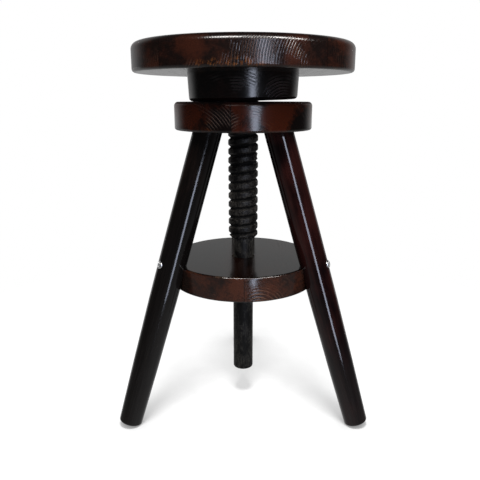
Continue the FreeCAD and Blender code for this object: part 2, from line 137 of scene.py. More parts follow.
class Graph:
    """A material's or world's node tree, with short calls that add a node and link its inputs."""

    def __init__(self, tree):
        self.tree = tree
        tree.nodes.clear()

    def put(self, socket, value):
        if isinstance(value, bpy.types.NodeSocket):
            self.tree.links.new(value, socket)
        elif value is not None:
            socket.default_value = value

    def put_all(self, sockets, values):
        for socket, value in zip(sockets, values):
            self.put(socket, value)

    def node(self, kind, **settings):
        made = self.tree.nodes.new(kind)
        for key, value in settings.items():
            setattr(made, key, value)
        return made

    def place(self):
        """The shaded point, in the object's own coordinates."""
        return self.node("ShaderNodeTexCoord").outputs["Object"]

    def object_normal(self):
        return self.node("ShaderNodeTexCoord").outputs["Normal"]

    def math(self, operation, a, b=None, c=None):
        made = self.node("ShaderNodeMath", operation=operation)
        self.put_all(made.inputs, (a, b, c))
        return made.outputs[0]

    def times(self, a, b):
        return self.math("MULTIPLY", a, b)

    def away(self, value, middle):
        """How far value is from middle, up or down."""
        return self.math("ABSOLUTE", self.math("SUBTRACT", value, middle))

    def vector(self, operation, a, b=None, scale=None):
        made = self.node("ShaderNodeVectorMath", operation=operation)
        self.put(made.inputs[0], a)
        self.put(made.inputs[1], b)
        if scale is not None:
            self.put(made.inputs["Scale"], scale)
        return made.outputs["Value" if operation in ("LENGTH", "DOT_PRODUCT") else "Vector"]

    def noise(self, vector, scale, detail=2.0, roughness=0.5, distortion=0.0, output="Fac"):
        made = self.node("ShaderNodeTexNoise")
        self.put(made.inputs["Vector"], vector)
        self.put(made.inputs["Scale"], scale)
        self.put(made.inputs["Detail"], detail)
        self.put(made.inputs["Roughness"], roughness)
        self.put(made.inputs["Distortion"], distortion)
        return made.outputs[output]

    def span(self, value, low, high, to_low=0.0, to_high=1.0, smooth=True):
        """value brought from low..high to to_low..to_high, held at both ends."""
        made = self.node("ShaderNodeMapRange", clamp=True)
        made.interpolation_type = "SMOOTHSTEP" if smooth else "LINEAR"
        self.put_all(made.inputs, (value, low, high, to_low, to_high))
        return made.outputs["Result"]

    def ramp(self, value, stops):
        """A grey or coloured ramp through (position, grey or colour) stops."""
        made = self.node("ShaderNodeValToRGB")
        elements = made.color_ramp.elements
        while len(elements) < len(stops):
            elements.new(1.0)
        for element, (position, colour) in zip(elements, stops):
            element.position = position
            element.color = (colour, colour, colour, 1.0) if isinstance(colour, float) else (*colour, 1.0)
        self.put(made.inputs["Fac"], value)
        return made.outputs["Color"]

    def mix(self, factor, a, b, blend="MIX"):
        """Two colours mixed. The node's sockets 6, 7 and 2 are those of its colours."""
        made = self.node("ShaderNodeMix", data_type="RGBA", blend_type=blend, clamp_factor=True)
        self.put(made.inputs["Factor"], factor)
        self.put(made.inputs[6], (*a, 1.0) if isinstance(a, tuple) else a)
        self.put(made.inputs[7], (*b, 1.0) if isinstance(b, tuple) else b)
        return made.outputs[2]

    def mix_vectors(self, factor, a, b):
        """Two vectors mixed. The node's sockets 4, 5 and 1 are those of its vectors."""
        made = self.node("ShaderNodeMix", data_type="VECTOR")
        self.put(made.inputs["Factor"], factor)
        self.put(made.inputs[4], a)
        self.put(made.inputs[5], b)
        return made.outputs[1]

    def shade(self, colour, level):
        """A colour times a grey level."""
        return self.mix(1.0, colour, self.combine(level, level, level), "MULTIPLY")

    def combine(self, x, y, z):
        made = self.node("ShaderNodeCombineXYZ")
        self.put_all(made.inputs, (x, y, z))
        return made.outputs[0]

    def separate(self, vector):
        made = self.node("ShaderNodeSeparateXYZ")
        self.put(made.inputs[0], vector)
        return made.outputs

    def bumps(self, layers, strength=1.0):
        """The normal over (height, depth in metres) layers, laid one on another."""
        normal = None
        for height, depth in layers:
            made = self.node("ShaderNodeBump")
            self.put(made.inputs["Height"], height)
            self.put(made.inputs["Distance"], depth)
            self.put(made.inputs["Strength"], strength)
            self.put(made.inputs["Normal"], normal)
            normal = made.outputs[0]
        return normal

    def shader(self, kind, inputs):
        """A shader node with its inputs given by name."""
        made = self.node(kind)
        for name, value in inputs.items():
            self.put(made.inputs[name], value)
        return made.outputs[0]

    def joined(self, kind, *inputs):
        """A node that mixes or adds the shaders among its inputs."""
        made = self.node(kind)
        self.put_all(made.inputs, inputs)
        return made.outputs[0]

    def show(self, shader, output="ShaderNodeOutputMaterial"):
        self.put(self.node(output).inputs["Surface"], shader)

    def show_surface(self, colour, roughness, normal, ior=1.5, metallic=0.0):
        self.show(self.shader("ShaderNodeBsdfPrincipled", {
            "Base Color": colour, "Roughness": roughness, "Normal": normal,
            "IOR": ior, "Metallic": metallic}))


def new_material(name):
    material = bpy.data.materials.new(name)
    material.use_nodes = True
    return material, Graph(material.node_tree)


def give(target, material):
    """The material on all faces of a piece."""
    target.data.materials.clear()
    target.data.materials.append(material)


# Stained pine


class Timber(NamedTuple):
    """How one piece of wood was cut from its tree, and how its stain took.

    The rings stand ring_spacing apart round the pith, a line along the grain. They draw in along it
    by taper and wander off their circles. The stain goes from dark to warm, to warm more often with
    more warmth. lines is the strength of the rings' pale lines, and relief the depth of their sunken
    ones. Warmer patches warm the stain, the patches in figured show the rings, and those in rubbed rub
    the stain thin. A patch of a negative amount does the opposite; these darker patches are partly the
    wood's own tone and partly painted shade. Low down, up to a given height, the wood is greyed by a
    painted floor bounce, the lower, the more."""

    grain: tuple = FRONT_TO_BACK
    pith: tuple = (0.0, 0.0, 0.0)
    ring_spacing: float = 0.0030
    taper: float = 0.02
    wander: float = 0.0022
    dark: tuple = (0.0050, 0.0022, 0.0018)
    warm: tuple = (0.030, 0.0075, 0.0035)
    line: tuple = (0.098, 0.050, 0.033)
    warmth: float = 0.45
    lines: float = 0.9
    relief: float = 0.00006
    tone_and_shade_patches: tuple = ()
    figured: tuple = ()
    rubbed: tuple = ()
    painted_bounce_height: float = 0.0
    seed: float = 0.0


def patches(level, *places):
    """Patches (x, z, reach, amount) of places (x, height above level, reach, amount)."""
    return tuple((x, level + rise, reach, amount) for x, rise, reach, amount in places)


def with_patches(graph, value, places):
    """value raised or lowered by an amount about places, each given as (x, z, reach, amount)."""
    x, y, z = graph.separate(graph.place())
    for at_x, at_z, reach, amount in places:
        aside = graph.math("SUBTRACT", x, at_x)
        above = graph.math("SUBTRACT", z, at_z)
        distance = graph.vector("LENGTH", graph.combine(aside, above, 0.0))
        value = graph.math("ADD", value, graph.span(distance, 0.0, reach, amount, 0.0))
    return value


def grain_coordinates(graph, grain, pith):
    """Object coordinates turned so that z runs along the grain and x = y = 0 is the pith."""
    mapping = graph.node("ShaderNodeMapping", vector_type="TEXTURE")
    graph.put(mapping.inputs["Vector"], graph.place())
    graph.put(mapping.inputs["Location"], pith)
    graph.put(mapping.inputs["Rotation"], Vector(grain).to_track_quat("Z", "Y").to_euler())
    return mapping.outputs[0]


def two_boards(graph, timber, joint, pith):
    """Grain coordinates of a block glued up from two boards; past x = joint the pith is another."""
    further_along = (0.0, 0.0, 3.0)
    past = graph.math("GREATER_THAN", graph.separate(graph.place())[0], joint)
    first = grain_coordinates(graph, timber.grain, timber.pith)
    second = graph.vector("ADD", grain_coordinates(graph, timber.grain, pith), further_along)
    return graph.mix_vectors(past, first, second)


def grain_noise(graph, place, squeeze, seed, scale, detail, roughness=0.6, output="Fac"):
    """A noise in streaks along the grain, the longer, the smaller squeeze is."""
    shifted = graph.vector("ADD", place, (seed, seed * 1.7, seed * 2.3))
    squeezed = graph.vector("MULTIPLY", shifted, (1.0, 1.0, squeeze))
    return graph.noise(squeezed, scale, detail, roughness, output=output)


def wobble(graph, place, squeeze, seed, scale, reach):
    """A vector that wanders by up to half of reach each way."""
    wave = grain_noise(graph, place, squeeze, seed, scale, 2.0, 0.5, "Color")
    return graph.vector("SCALE", graph.vector("SUBTRACT", wave, (0.5, 0.5, 0.5)), scale=reach)


def growth_rings(graph, timber, place):
    """Pale lines and sunken lines, each from 0 to 1, side by side in every year's growth."""
    slow = wobble(graph, place, 0.35, timber.seed, 14.0, timber.wander)
    fine = wobble(graph, place, 0.2, timber.seed + 3.0, 130.0, 0.0010)
    x, y, z = graph.separate(graph.vector("ADD", graph.vector("ADD", place, slow), fine))
    radius = graph.vector("LENGTH", graph.combine(x, y, 0.0))
    tapered = graph.math("MULTIPLY_ADD", z, timber.taper, radius)
    years = graph.math("DIVIDE", tapered, timber.ring_spacing)
    weather = graph.noise(graph.combine(tapered, timber.seed, 0.0), 60.0, 1.0)
    share = graph.math("FRACT", graph.math("MULTIPLY_ADD", weather, 1.6, years))
    return graph.ramp(share, PALE_LINE), graph.ramp(share, SUNKEN_LINE)


def end_grain(graph, timber):
    """1 where the surface cuts across the grain, 0 where it runs along it."""
    across = graph.math("ABSOLUTE", graph.vector("DOT_PRODUCT", graph.object_normal(), timber.grain))
    return graph.span(across, 0.35, 0.85)


def flat_face(graph):
    """1 on level faces, 0 on upright ones."""
    return graph.span(graph.math("ABSOLUTE", graph.separate(graph.object_normal())[2]), 0.25, 0.90)


def from_axis(graph, place):
    """How far a place is from the screw's axis, and its height."""
    x, y, z = graph.separate(graph.vector("SUBTRACT", place, tuple(AXIS)))
    return graph.vector("LENGTH", graph.combine(x, y, 0.0)), z


def rim_wear(graph, radius, low, high):
    """1 on the rubbed rims of a disc of that radius between two heights, in patches."""
    place = graph.place()
    out, z = from_axis(graph, place)
    outer = graph.span(out, radius - 0.0040, radius - 0.0006)
    lower = graph.span(z, low + 0.0026, low + 0.0006)
    upper = graph.span(z, high - 0.0030, high - 0.0010)
    rim = graph.times(outer, graph.math("MAXIMUM", lower, upper))
    return graph.times(rim, graph.span(graph.noise(place, 42.0, 3.0, 0.6), 0.52, 0.68))


def turning_marks(graph):
    """Faint level streaks, as a tool or a sander leaves them round a turned disc."""
    return graph.noise(graph.vector("MULTIPLY", graph.place(), (12.0, 12.0, 620.0)), 1.0, 3.0, 0.6)


def glue_line(graph, joints):
    """1 along the glue lines at those x, 0 elsewhere."""
    x = graph.separate(graph.place())[0]
    found = 0.0
    for joint in joints:
        found = graph.math("MAXIMUM", found, graph.span(graph.away(x, joint), 0.00085, 0.0003))
    return found


def stain(graph, timber, streak, cloud, pale, clear):
    """The colour of the stained wood, with its pale lines, rubbed places, patches of painted shade, and a
    painted floor bounce low down.
    """
    low = 0.62 - 0.34 * timber.warmth
    patch = graph.math("MULTIPLY_ADD", streak, 0.30, graph.times(cloud, 0.80))
    tone = graph.span(with_patches(graph, patch, timber.tone_and_shade_patches), low, low + 0.26)
    ground = graph.mix(tone, timber.dark, timber.warm)
    colour = graph.mix(graph.times(graph.times(pale, clear), timber.lines), ground, timber.line)
    if timber.rubbed:
        thin = graph.times(with_patches(graph, 0.0, timber.rubbed), graph.span(streak, 0.46, 0.58))
        thin = graph.times(thin, graph.span(pale, 0.0, 1.0, 0.3, 1.0))
        colour = graph.mix(thin, colour, RUBBED_THIN)
    # Painted light: low on the legs the colour is greyed, the lower the more, as if lit by light bounced up
    # from the floor
    if timber.painted_bounce_height:
        low_down = graph.span(graph.separate(graph.place())[2], timber.painted_bounce_height, 0.0)
        grey = graph.times(low_down, graph.span(streak, 0.35, 0.65, 0.5, 0.9))
        colour = graph.mix(grey, colour, PAINTED_FLOOR_BOUNCE)
    return colour


def stained_wood(name, timber, second=None, disc=None, joints=(), polish=0.16, wear=0.55,
                 dull_top=0.0, painted_level_shade=0.5):
    """Dark-stained, lacquered wood with growth rings all through it.

    second is (joint, pith) where a block is of two boards. disc is (radius, low, high) of a turned
    disc, whose rims are rubbed by wear, and joints are the x of its glue lines. polish is the
    roughness of upright faces. Level faces are rougher by dull_top, and their colour is multiplied
    by a darker factor, as painted shade."""
    material, graph = new_material(name)
    if second:
        place = two_boards(graph, timber, *second)
    else:
        place = grain_coordinates(graph, timber.grain, timber.pith)
    pale, sunken = growth_rings(graph, timber, place)
    fibre = grain_noise(graph, place, 0.03, timber.seed + 7.0, 1100.0, 3.0)
    streak = grain_noise(graph, place, 0.06, timber.seed + 11.0, 190.0, 3.0)
    cloud = grain_noise(graph, place, 0.4, timber.seed + 17.0, 22.0, 4.0)
    bare = grain_noise(graph, place, 0.5, timber.seed + 23.0, 34.0, 2.0, 0.5)
    clear = graph.span(with_patches(graph, bare, timber.figured), 0.52, 0.90, 0.02, 1.0)
    sunken = graph.times(sunken, graph.span(clear, 0.0, 0.6, 0.08, 1.0))
    flat = flat_face(graph)

    colour = stain(graph, timber, streak, cloud, pale, clear)
    fibres = graph.span(fibre, 0.3, 0.7, 0.70, 1.22, smooth=False)
    # Level faces are darkened by a factor here: painted shade, on top of the fibres' own tone
    colour = graph.shade(colour, graph.times(fibres, graph.span(flat, 0.0, 1.0, 1.0, painted_level_shade)))
    if joints:
        colour = graph.mix(graph.times(glue_line(graph, joints), 0.75), colour, OLD_GLUE)
    if disc:
        colour = graph.mix(graph.times(rim_wear(graph, *disc), wear), colour, WORN_RIM)

    layers = [
        (graph.noise(place, 60.0, 1.0), 0.00010),
        (graph.math("SUBTRACT", 1.0, sunken), timber.relief),
        (fibre, 0.000012),
        (graph.noise(place, 420.0, 2.0, 0.6), 0.00003),
    ]
    if disc:
        layers.append((turning_marks(graph), 0.00002))
    normal = graph.bumps(layers, graph.span(flat, 0.0, 1.0, 1.0, 0.04))

    rough = graph.math("MULTIPLY_ADD", streak, 0.10, polish - 0.05)
    for share, rougher in ((end_grain(graph, timber), 0.03), (sunken, 0.08), (flat, dull_top)):
        rough = graph.math("MULTIPLY_ADD", share, rougher, rough)
    graph.show_surface(colour, rough, normal)
    return material


def pith_at(x, z):
    """The pith of a board whose grain runs from front to back."""
    return (x, AXIS_Y, z)


def paint_seat():
    """Four boards; the two in the middle are of one look, which changes beside their joint."""
    width = SEAT_BOARD_WIDTH
    look_changes = -0.016
    middle = (seat_low.z + seat_high.z) / 2
    disc = (SEAT_RADIUS, seat_low.z, seat_high.z)
    left = Timber(pith=pith_at(-1.95 * width, middle + 0.010), seed=1.0, warmth=0.46, lines=0.35, **PLUM)
    inner = Timber(
        pith=pith_at(-1.20 * width, middle + 0.014), seed=2.0, warmth=0.42, ring_spacing=0.0034,
        relief=0.00045, lines=0.42,
        tone_and_shade_patches=patches(middle, (-0.062, 0.006, 0.030, 0.14), (-0.020, -0.010, 0.030, -0.06)),
        figured=patches(
            middle,
            (-0.060, -0.018, 0.022, 0.26), (-0.018, -0.014, 0.020, 0.22),
            (-0.098, -0.006, 0.012, 0.22), (-0.045, 0.016, 0.036, -0.2),
            (0.020, -0.002, 0.034, 0.38), (0.058, 0.006, 0.022, 0.26),
            (0.072, -0.012, 0.018, 0.20), (0.098, 0.0, 0.026, -0.3)),
        rubbed=patches(
            seat_low.z,
            (0.004, 0.003, 0.012, 0.8), (-0.008, 0.004, 0.012, 0.9), (-0.022, 0.003, 0.010, 0.7),
            (-0.036, 0.004, 0.010, 0.6), (-0.052, 0.003, 0.010, 0.5), (0.020, 0.002, 0.010, 0.5)),
        **PLUM)
    inner_right = pith_at(1.08 * width, seat_low.z + 0.001)
    right = Timber(
        pith=pith_at(2.40 * width, middle - 0.008), seed=4.0, warmth=0.62, lines=0.6,
        tone_and_shade_patches=patches(middle, (0.125, 0.010, 0.020, 0.12)),
        figured=patches(middle, (0.117, 0.0, 0.016, 0.22)), **PLUM)
    give(nodes["seat_board_1"], stained_wood("seat_wood_left", left, disc=disc, joints=[-width]))
    wood = stained_wood("seat_wood_inner", inner, (look_changes, inner_right), disc, [-width, width])
    give(nodes["seat_board_2"], wood)
    give(nodes["seat_board_3"], wood)
    give(nodes["seat_board_4"], stained_wood("seat_wood_right", right, disc=disc, joints=[width]))


def paint_boss():
    """Two boards, nearly black, with an arc of rings in each."""
    middle = (boss_low.z + boss_high.z) / 2
    disc = ((boss_high.x - boss_low.x) / 2, boss_low.z, boss_high.z)
    left = Timber(
        pith=pith_at(-0.012, boss_low.z - 0.040), seed=5.0, warmth=0.42, lines=1.0,
        ring_spacing=0.0042, relief=0.00016,
        figured=patches(middle, (-0.010, 0.0, 0.024, 0.34), (0.045, -0.004, 0.026, 0.36)), **BLACK)
    right = (0.017, pith_at(0.057, boss_low.z - 0.006))
    give(nodes["seat_boss"], stained_wood("boss_wood", left, right, disc, wear=0.08, dull_top=0.4))


def paint_hub():
    """Two boards, whose rings meet in chevrons at the joint."""
    joint = -0.0165
    middle = (hub_low.z + hub_high.z) / 2
    disc = ((hub_high.x - hub_low.x) / 2, hub_low.z, hub_high.z)
    left = Timber(
        pith=pith_at(-0.085, hub_low.z - 0.030), seed=6.0, warmth=0.54, ring_spacing=0.0038,
        tone_and_shade_patches=patches(
            middle,
            (0.046, -0.002, 0.030, 0.34), (-0.070, 0.0, 0.026, 0.14),
            (-0.028, -0.006, 0.024, -0.20), (0.075, -0.010, 0.020, -0.12)),
        figured=patches(
            middle,
            (-0.040, -0.006, 0.018, 0.32), (-0.026, 0.006, 0.018, 0.34), (-0.012, -0.004, 0.014, 0.28),
            (0.032, -0.010, 0.014, 0.26), (0.018, 0.008, 0.020, 0.26),
            (-0.075, 0.0, 0.022, -0.2), (0.060, 0.0, 0.022, -0.2)),
        rubbed=patches(
            hub_low.z,
            (-0.045, 0.007, 0.018, 0.30), (0.033, 0.005, 0.014, 0.35), (0.060, 0.012, 0.012, 0.18)),
        **RUSSET)
    right = (joint, pith_at(0.008, hub_low.z - 0.026))
    give(nodes["hub"], stained_wood("hub_wood", left, right, disc, [joint], wear=0.2, dull_top=0.4))


def paint_shelf():
    """Three boards; the two on the right are of one look, with arches right of its joint."""
    joint = 0.0015
    middle = (shelf_low.z + shelf_high.z) / 2
    disc = (SHELF_RADIUS, shelf_low.z, shelf_high.z)
    # The darker patch at the left end, beside the leg, is painted shade
    left = Timber(
        pith=pith_at(-0.060, shelf_low.z - 0.090), seed=7.0, warmth=0.50, lines=0.35,
        tone_and_shade_patches=patches(middle, (-0.104, 0.0, 0.035, -0.5)), **BROWN)
    right = Timber(
        pith=pith_at(-0.050, shelf_low.z - 0.110), seed=8.0, warmth=0.56, lines=0.8,
        ring_spacing=0.0042,
        tone_and_shade_patches=patches(middle, (-0.006, 0.004, 0.030, 0.16), (-0.03, 0.0, 0.02, -0.1)),
        figured=patches(middle, (0.020, -0.012, 0.024, 0.36)), **BROWN)
    arches = (joint, pith_at(0.022, shelf_low.z - 0.014))
    # The shelf's level faces get a strong painted shade
    look = {"disc": disc, "wear": 0.2, "painted_level_shade": 0.08}
    give(nodes["shelf_board_1"], stained_wood("shelf_wood_left", left, **look))
    wood = stained_wood("shelf_wood_right", right, arches, joints=[joint], **look)
    give(nodes["shelf_board_2"], wood)
    give(nodes["shelf_board_3"], wood)


def leg_line(name):
    """A point on a leg's centre line at the hub's underside, and its direction upwards."""
    turn = math.radians(LEG_ANGLES[name])
    out = Vector((math.cos(turn), math.sin(turn), 0.0))
    splay = math.radians(LEG_SPLAY)
    top = AXIS + LEG_CIRCLE_RADIUS * out + Vector((0.0, 0.0, hub_low.z))
    return top, Vector((0.0, 0.0, math.cos(splay))) - math.sin(splay) * out


def paint_legs():
    """Each leg with its own warmth, polish, height of painted floor bounce, stain, and patches of warmer tone
    and painted shade.
    """
    # On the right leg, two patches warm its outer side, and the darker one on its inner side near the top is
    # painted shade
    right_patches = patches(
        0.0, (0.080, 0.395, 0.050, 0.30), (0.100, 0.335, 0.045, 0.15), (0.046, 0.400, 0.030, -0.35))
    looks = {
        "leg_rear": (0.30, 0.18, 0.30, SOOTY, ()),
        "leg_front_left": (0.24, 0.12, 0.42, SOOTY, ()),
        "leg_front_right": (0.50, 0.10, 0.20, RUDDY, right_patches),
    }
    to_pith = Vector((0.035, 0.05, 0.0))
    for count, (name, (warmth, polish, painted_bounce_height, stains, tone_and_shade_patches)) in enumerate(looks.items()):
        top, up = leg_line(name)
        timber = Timber(grain=tuple(up), pith=tuple(top + to_pith), seed=12.0 + count,
                        warmth=warmth, lines=0.3, relief=0.00003, taper=0.01, painted_bounce_height=painted_bounce_height,
                        tone_and_shade_patches=tone_and_shade_patches, **stains)
        give(nodes[name], stained_wood(name + "_wood", timber, polish=polish))


# Meshes


def object_from(made, name):
    mesh = bpy.data.meshes.new(name)
    made.normal_update()
    made.to_mesh(mesh)
    made.free()
    piece = bpy.data.objects.new(name, mesh)
    bpy.context.scene.collection.objects.link(piece)
    return piece


def smooth_by_angle(piece, angle):
    """Smooth shading, broken at edges sharper than the angle."""
    limit = math.radians(angle)
    made = bmesh.new()
    made.from_mesh(piece.data)
    for face in made.faces:
        face.smooth = True
    for edge in made.edges:
        edge.smooth = not (edge.is_manifold and edge.calc_face_angle(0.0) > limit)
    made.to_mesh(piece.data)
    made.free()


def mesh_of_rings(rings, centre):
    """A closed bmesh about an upright line, from rings of (radius, height) points.

    The points of a ring stand evenly round the line, and the first and the last ring are of one
    point, a tip."""
    made = bmesh.new()
    layers = []
    for ring in rings:
        layer = []
        for i, (radius, height) in enumerate(ring):
            angle = 2 * math.pi * i / len(ring)
            spot = (centre.x + radius * math.cos(angle), centre.y + radius * math.sin(angle), height)
            layer.append(made.verts.new(spot))
        layers.append(layer)
    for lower, upper in zip(layers, layers[1:]):
        steps = max(len(lower), len(upper))
        for i in range(steps):
            j = (i + 1) % steps
            corners = [lower[i % len(lower)], lower[j % len(lower)],
                       upper[j % len(upper)], upper[i % len(upper)]]
            made.faces.new(list(dict.fromkeys(corners)))
    return made


def lathe(outline, steps):
    """A closed bmesh turned about the screw's axis, from (radius, height) points that begin and end on it."""
    return mesh_of_rings([[point] * (steps if point[0] else 1) for point in outline], AXIS)


def combined(piece, tool, operation):
    """piece after a boolean with tool, which is then removed."""
    step = piece.modifiers.new(operation.lower(), "BOOLEAN")
    step.operation = operation
    step.solver = "EXACT"
    step.object = tool
    evaluated = piece.evaluated_get(bpy.context.evaluated_depsgraph_get())
    result = bpy.data.meshes.new_from_object(evaluated)
    piece.modifiers.clear()
    old = piece.data
    piece.data = result
    bpy.data.meshes.remove(old)
    bpy.data.objects.remove(tool)
    return piece


# The screw and its shank


def matt_wood(name, timber, torn=None, groove=None):
    """Dark-stained, unpolished wood of the screw and its shank, with streaks round it.

    torn is a height of torn fibres, and groove is (root radius, crest radius) of a thread whose colour
    is darkened towards the root as painted shade, and made rougher there."""
    material, graph = new_material(name)
    inside = grain_coordinates(graph, timber.grain, timber.pith)
    place = graph.place()
    fibre = grain_noise(graph, inside, 0.05, timber.seed, 900.0, 3.0)
    cloud = grain_noise(graph, inside, 0.6, timber.seed + 5.0, 60.0, 4.0)
    cuts = graph.noise(graph.vector("MULTIPLY", place, (70.0, 70.0, 900.0)), 1.0, 3.0, 0.65)
    ground = graph.mix(graph.span(cloud, 0.40, 0.68), timber.dark, timber.warm)
    fibres = graph.span(fibre, 0.3, 0.7, 0.65, 1.3, smooth=False)
    colour = graph.shade(ground, graph.times(fibres, graph.span(cuts, 0.35, 0.65, 0.7, 1.25, smooth=False)))

    worn = graph.noise(graph.vector("MULTIPLY", place, (190.0, 190.0, 80.0)), 1.0, 3.0, 0.6, 1.2)
    scratch = graph.span(graph.away(worn, 0.5), 0.055, 0.012)
    colour = graph.mix(graph.times(scratch, graph.span(cloud, 0.40, 0.56, 0.12, 0.95)), colour, SCUFF)
    if torn is not None:
        band = graph.span(graph.away(graph.separate(place)[2], torn), 0.0022, 0.0008)
        bits = graph.span(graph.noise(place, 520.0, 2.0, 0.6), 0.54, 0.62)
        colour = graph.mix(graph.times(band, bits), colour, TORN_FIBRES)
    rough = graph.math("MULTIPLY_ADD", fibre, 0.2, 0.36)
    # Painted shade: the colour darkens and the roughness rises towards the thread's root
    if groove is not None:
        root, crest = groove
        out, height = from_axis(graph, place)
        open_air = graph.span(out, root + 0.0004, crest - 0.0006, 0.10, 1.0)
        colour = graph.shade(colour, open_air)
        rough = graph.math("ADD", rough, graph.span(open_air, 0.1, 1.0, 0.4, 0.0))
    normal = graph.bumps([(fibre, 0.00005), (cuts, 0.00022), (cloud, 0.0005)])
    graph.show_surface(colour, rough, normal, ior=1.33)
    return material


def turned_timber(seed, stains):
    """Upright wood whose pith is a little beside the screw's axis."""
    return Timber(grain=UPRIGHT, pith=(0.004, AXIS_Y + 0.003, 0.0), seed=seed, **stains)


def groove_depth(from_groove, half_mouth):
    """How deep the thread is cut at a distance from a groove's middle, its edges just blunted."""
    edge_rounding = 0.00045
    root_rounding = 0.0003
    blunt = math.hypot(from_groove, root_rounding)
    cut = THREAD_DEPTH * (1.0 - blunt / half_mouth)
    return (cut + math.sqrt(cut * cut + edge_rounding * edge_rounding)) / 2 - edge_rounding / 8


def thread_wear(angle, z, from_groove):
    """What is gone from the crest: small chips along its edges, and a large one on the +X side."""
    small_chip_depth = 0.0009
    edge_reach = 0.0018
    large_chip_depth = 0.0024
    large_chip_rise = 0.126
    large_chip_half_width = 0.009
    large_chip_half_height = 0.0042
    large_chip_from_axis = 0.022
    spot = 5.0 * Vector((math.cos(angle), math.sin(angle), 0.0)) + Vector((0.0, 0.0, 160.0 * z))
    ragged = max(0.0, noise.noise(spot)) * small_chip_depth
    edge = max(0.0, 1.0 - abs(from_groove - THREAD_GROOVE_MOUTH / 2) / edge_reach)
    turned = angle if angle < math.pi else angle - 2 * math.pi
    aside = turned * large_chip_from_axis / large_chip_half_width
    above = (z - spindle_low.z - large_chip_rise) / large_chip_half_height
    away = math.hypot(aside, above)
    return ragged * edge + large_chip_depth * max(0.0, 1.0 - away * away)


def thread_row(start, from_groove, steps):
    """One turn of points round the thread, at a distance from a groove's middle."""
    root = THREAD_RADIUS - THREAD_DEPTH
    widening = 0.0005
    row = []
    for i in range(steps):
        angle = 2 * math.pi * i / steps
        z = start + THREAD_PITCH * i / steps
        spot = Vector((math.cos(angle), math.sin(angle), 70.0 * z))
        wider = widening * (0.5 + noise.noise(2.0 * spot))
        radius = THREAD_RADIUS - groove_depth(from_groove, THREAD_GROOVE_MOUTH / 2 + wider)
        radius = max(root, radius - thread_wear(angle, z, from_groove))
        row.append((radius * math.cos(angle), AXIS_Y + radius * math.sin(angle), z))
    return row


def thread_mesh(low, high):
    """The threaded rod as a closed bmesh, its grid following the helix, cut square at low and high."""
    steps = 120
    rows_per_turn = 24
    first_groove = spindle_low.z + THREAD_FIRST_GROOVE
    first = math.floor((low - first_groove) / THREAD_PITCH) - 2
    last = math.ceil((high - first_groove) / THREAD_PITCH) + 1
    made = bmesh.new()
    rows = []
    for turn in range(first, last):
        for count in range(rows_per_turn):
            rise = THREAD_PITCH * count / rows_per_turn
            row = thread_row(first_groove + turn * THREAD_PITCH + rise, min(rise, THREAD_PITCH - rise), steps)
            rows.append([made.verts.new(spot) for spot in row])
    for j in range(len(rows) - 1):
        for i in range(steps - 1):
            made.faces.new((rows[j][i], rows[j][i + 1], rows[j + 1][i + 1], rows[j + 1][i]))
        k = j + rows_per_turn
        if k + 1 < len(rows):
            made.faces.new((rows[j][-1], rows[k][0], rows[k + 1][0], rows[j + 1][-1]))
    for height, side in ((low, -1), (high, 1)):
        geometry = made.verts[:] + made.edges[:] + made.faces[:]
        plane = (0.0, 0.0, float(side))
        bmesh.ops.bisect_plane(made, geom=geometry, plane_co=(0, 0, height), plane_no=plane, clear_outer=True)
    bmesh.ops.holes_fill(made, edges=[e for e in made.edges if e.is_boundary])
    return made


def nose_envelope():
    """The space that the thread is turned down to, with its chamfered nose, a little blunted."""
    spare = 0.001
    nose = THREAD_RADIUS - THREAD_END_CHAMFER
    low = spindle_low.z
    chamfer_top = low + THREAD_END_CHAMFER
    clear_of_crest = THREAD_RADIUS + 0.0002
    return lathe([
        (0.0, low - spare),
        (nose - 0.0004, low - spare),
        (nose + 0.0003, low + 0.0003),
        (THREAD_RADIUS - 0.0006, chamfer_top - 0.0004),
        (clear_of_crest, chamfer_top + 0.0008),
        (clear_of_crest, SHOULDER_HEIGHT + spare),
        (0.0, SHOULDER_HEIGHT + spare),
    ], 112)


def tenon():
    """The tenon on top of the thread, which it overlaps a little."""
    bottom = SHOULDER_HEIGHT - 0.004
    top = spindle_high.z
    return lathe([(0.0, bottom), (TENON_RADIUS, bottom), (TENON_RADIUS, top), (0.0, top)], 96)


def wedge_prism():
    """The space of the wedge in the top of the tenon."""
    over = 0.001
    top = spindle_high.z
    half = WEDGE_THICKNESS / 2
    half_over = half + half / WEDGE_LENGTH * over
    section = [(-half_over, top + over), (half_over, top + over), (0.0, top - WEDGE_LENGTH)]
    made = bmesh.new()
    ends = []
    for side in (-1, 1):
        ends.append([made.verts.new((x, AXIS_Y + side * 2 * TENON_RADIUS, z)) for x, z in section])
    made.faces.new(ends[0])
    made.faces.new(list(reversed(ends[1])))
    for i in range(3):
        j = (i + 1) % 3
        made.faces.new((ends[0][j], ends[0][i], ends[1][i], ends[1][j]))
    bmesh.ops.recalc_face_normals(made, faces=made.faces)
    return made


def build_screw():
    """The turned screw with blunted crests, its chamfered nose and its wedged tenon."""
    torn_height = spindle_low.z + 0.0018
    screw = object_from(thread_mesh(spindle_low.z, SHOULDER_HEIGHT), "turned_screw")
    screw = combined(screw, object_from(nose_envelope(), "nose_envelope"), "INTERSECT")
    screw = combined(screw, object_from(tenon(), "tenon"), "UNION")
    screw = combined(screw, object_from(wedge_prism(), "wedge_space"), "DIFFERENCE")
    smooth_by_angle(screw, 50.0)
    groove = (THREAD_RADIUS - THREAD_DEPTH, THREAD_RADIUS)
    give(screw, matt_wood("screw_wood", turned_timber(31.0, MATT_BLACK), torn_height, groove))
    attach(screw, "seat")
    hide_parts("screw_spindle")
    return screw


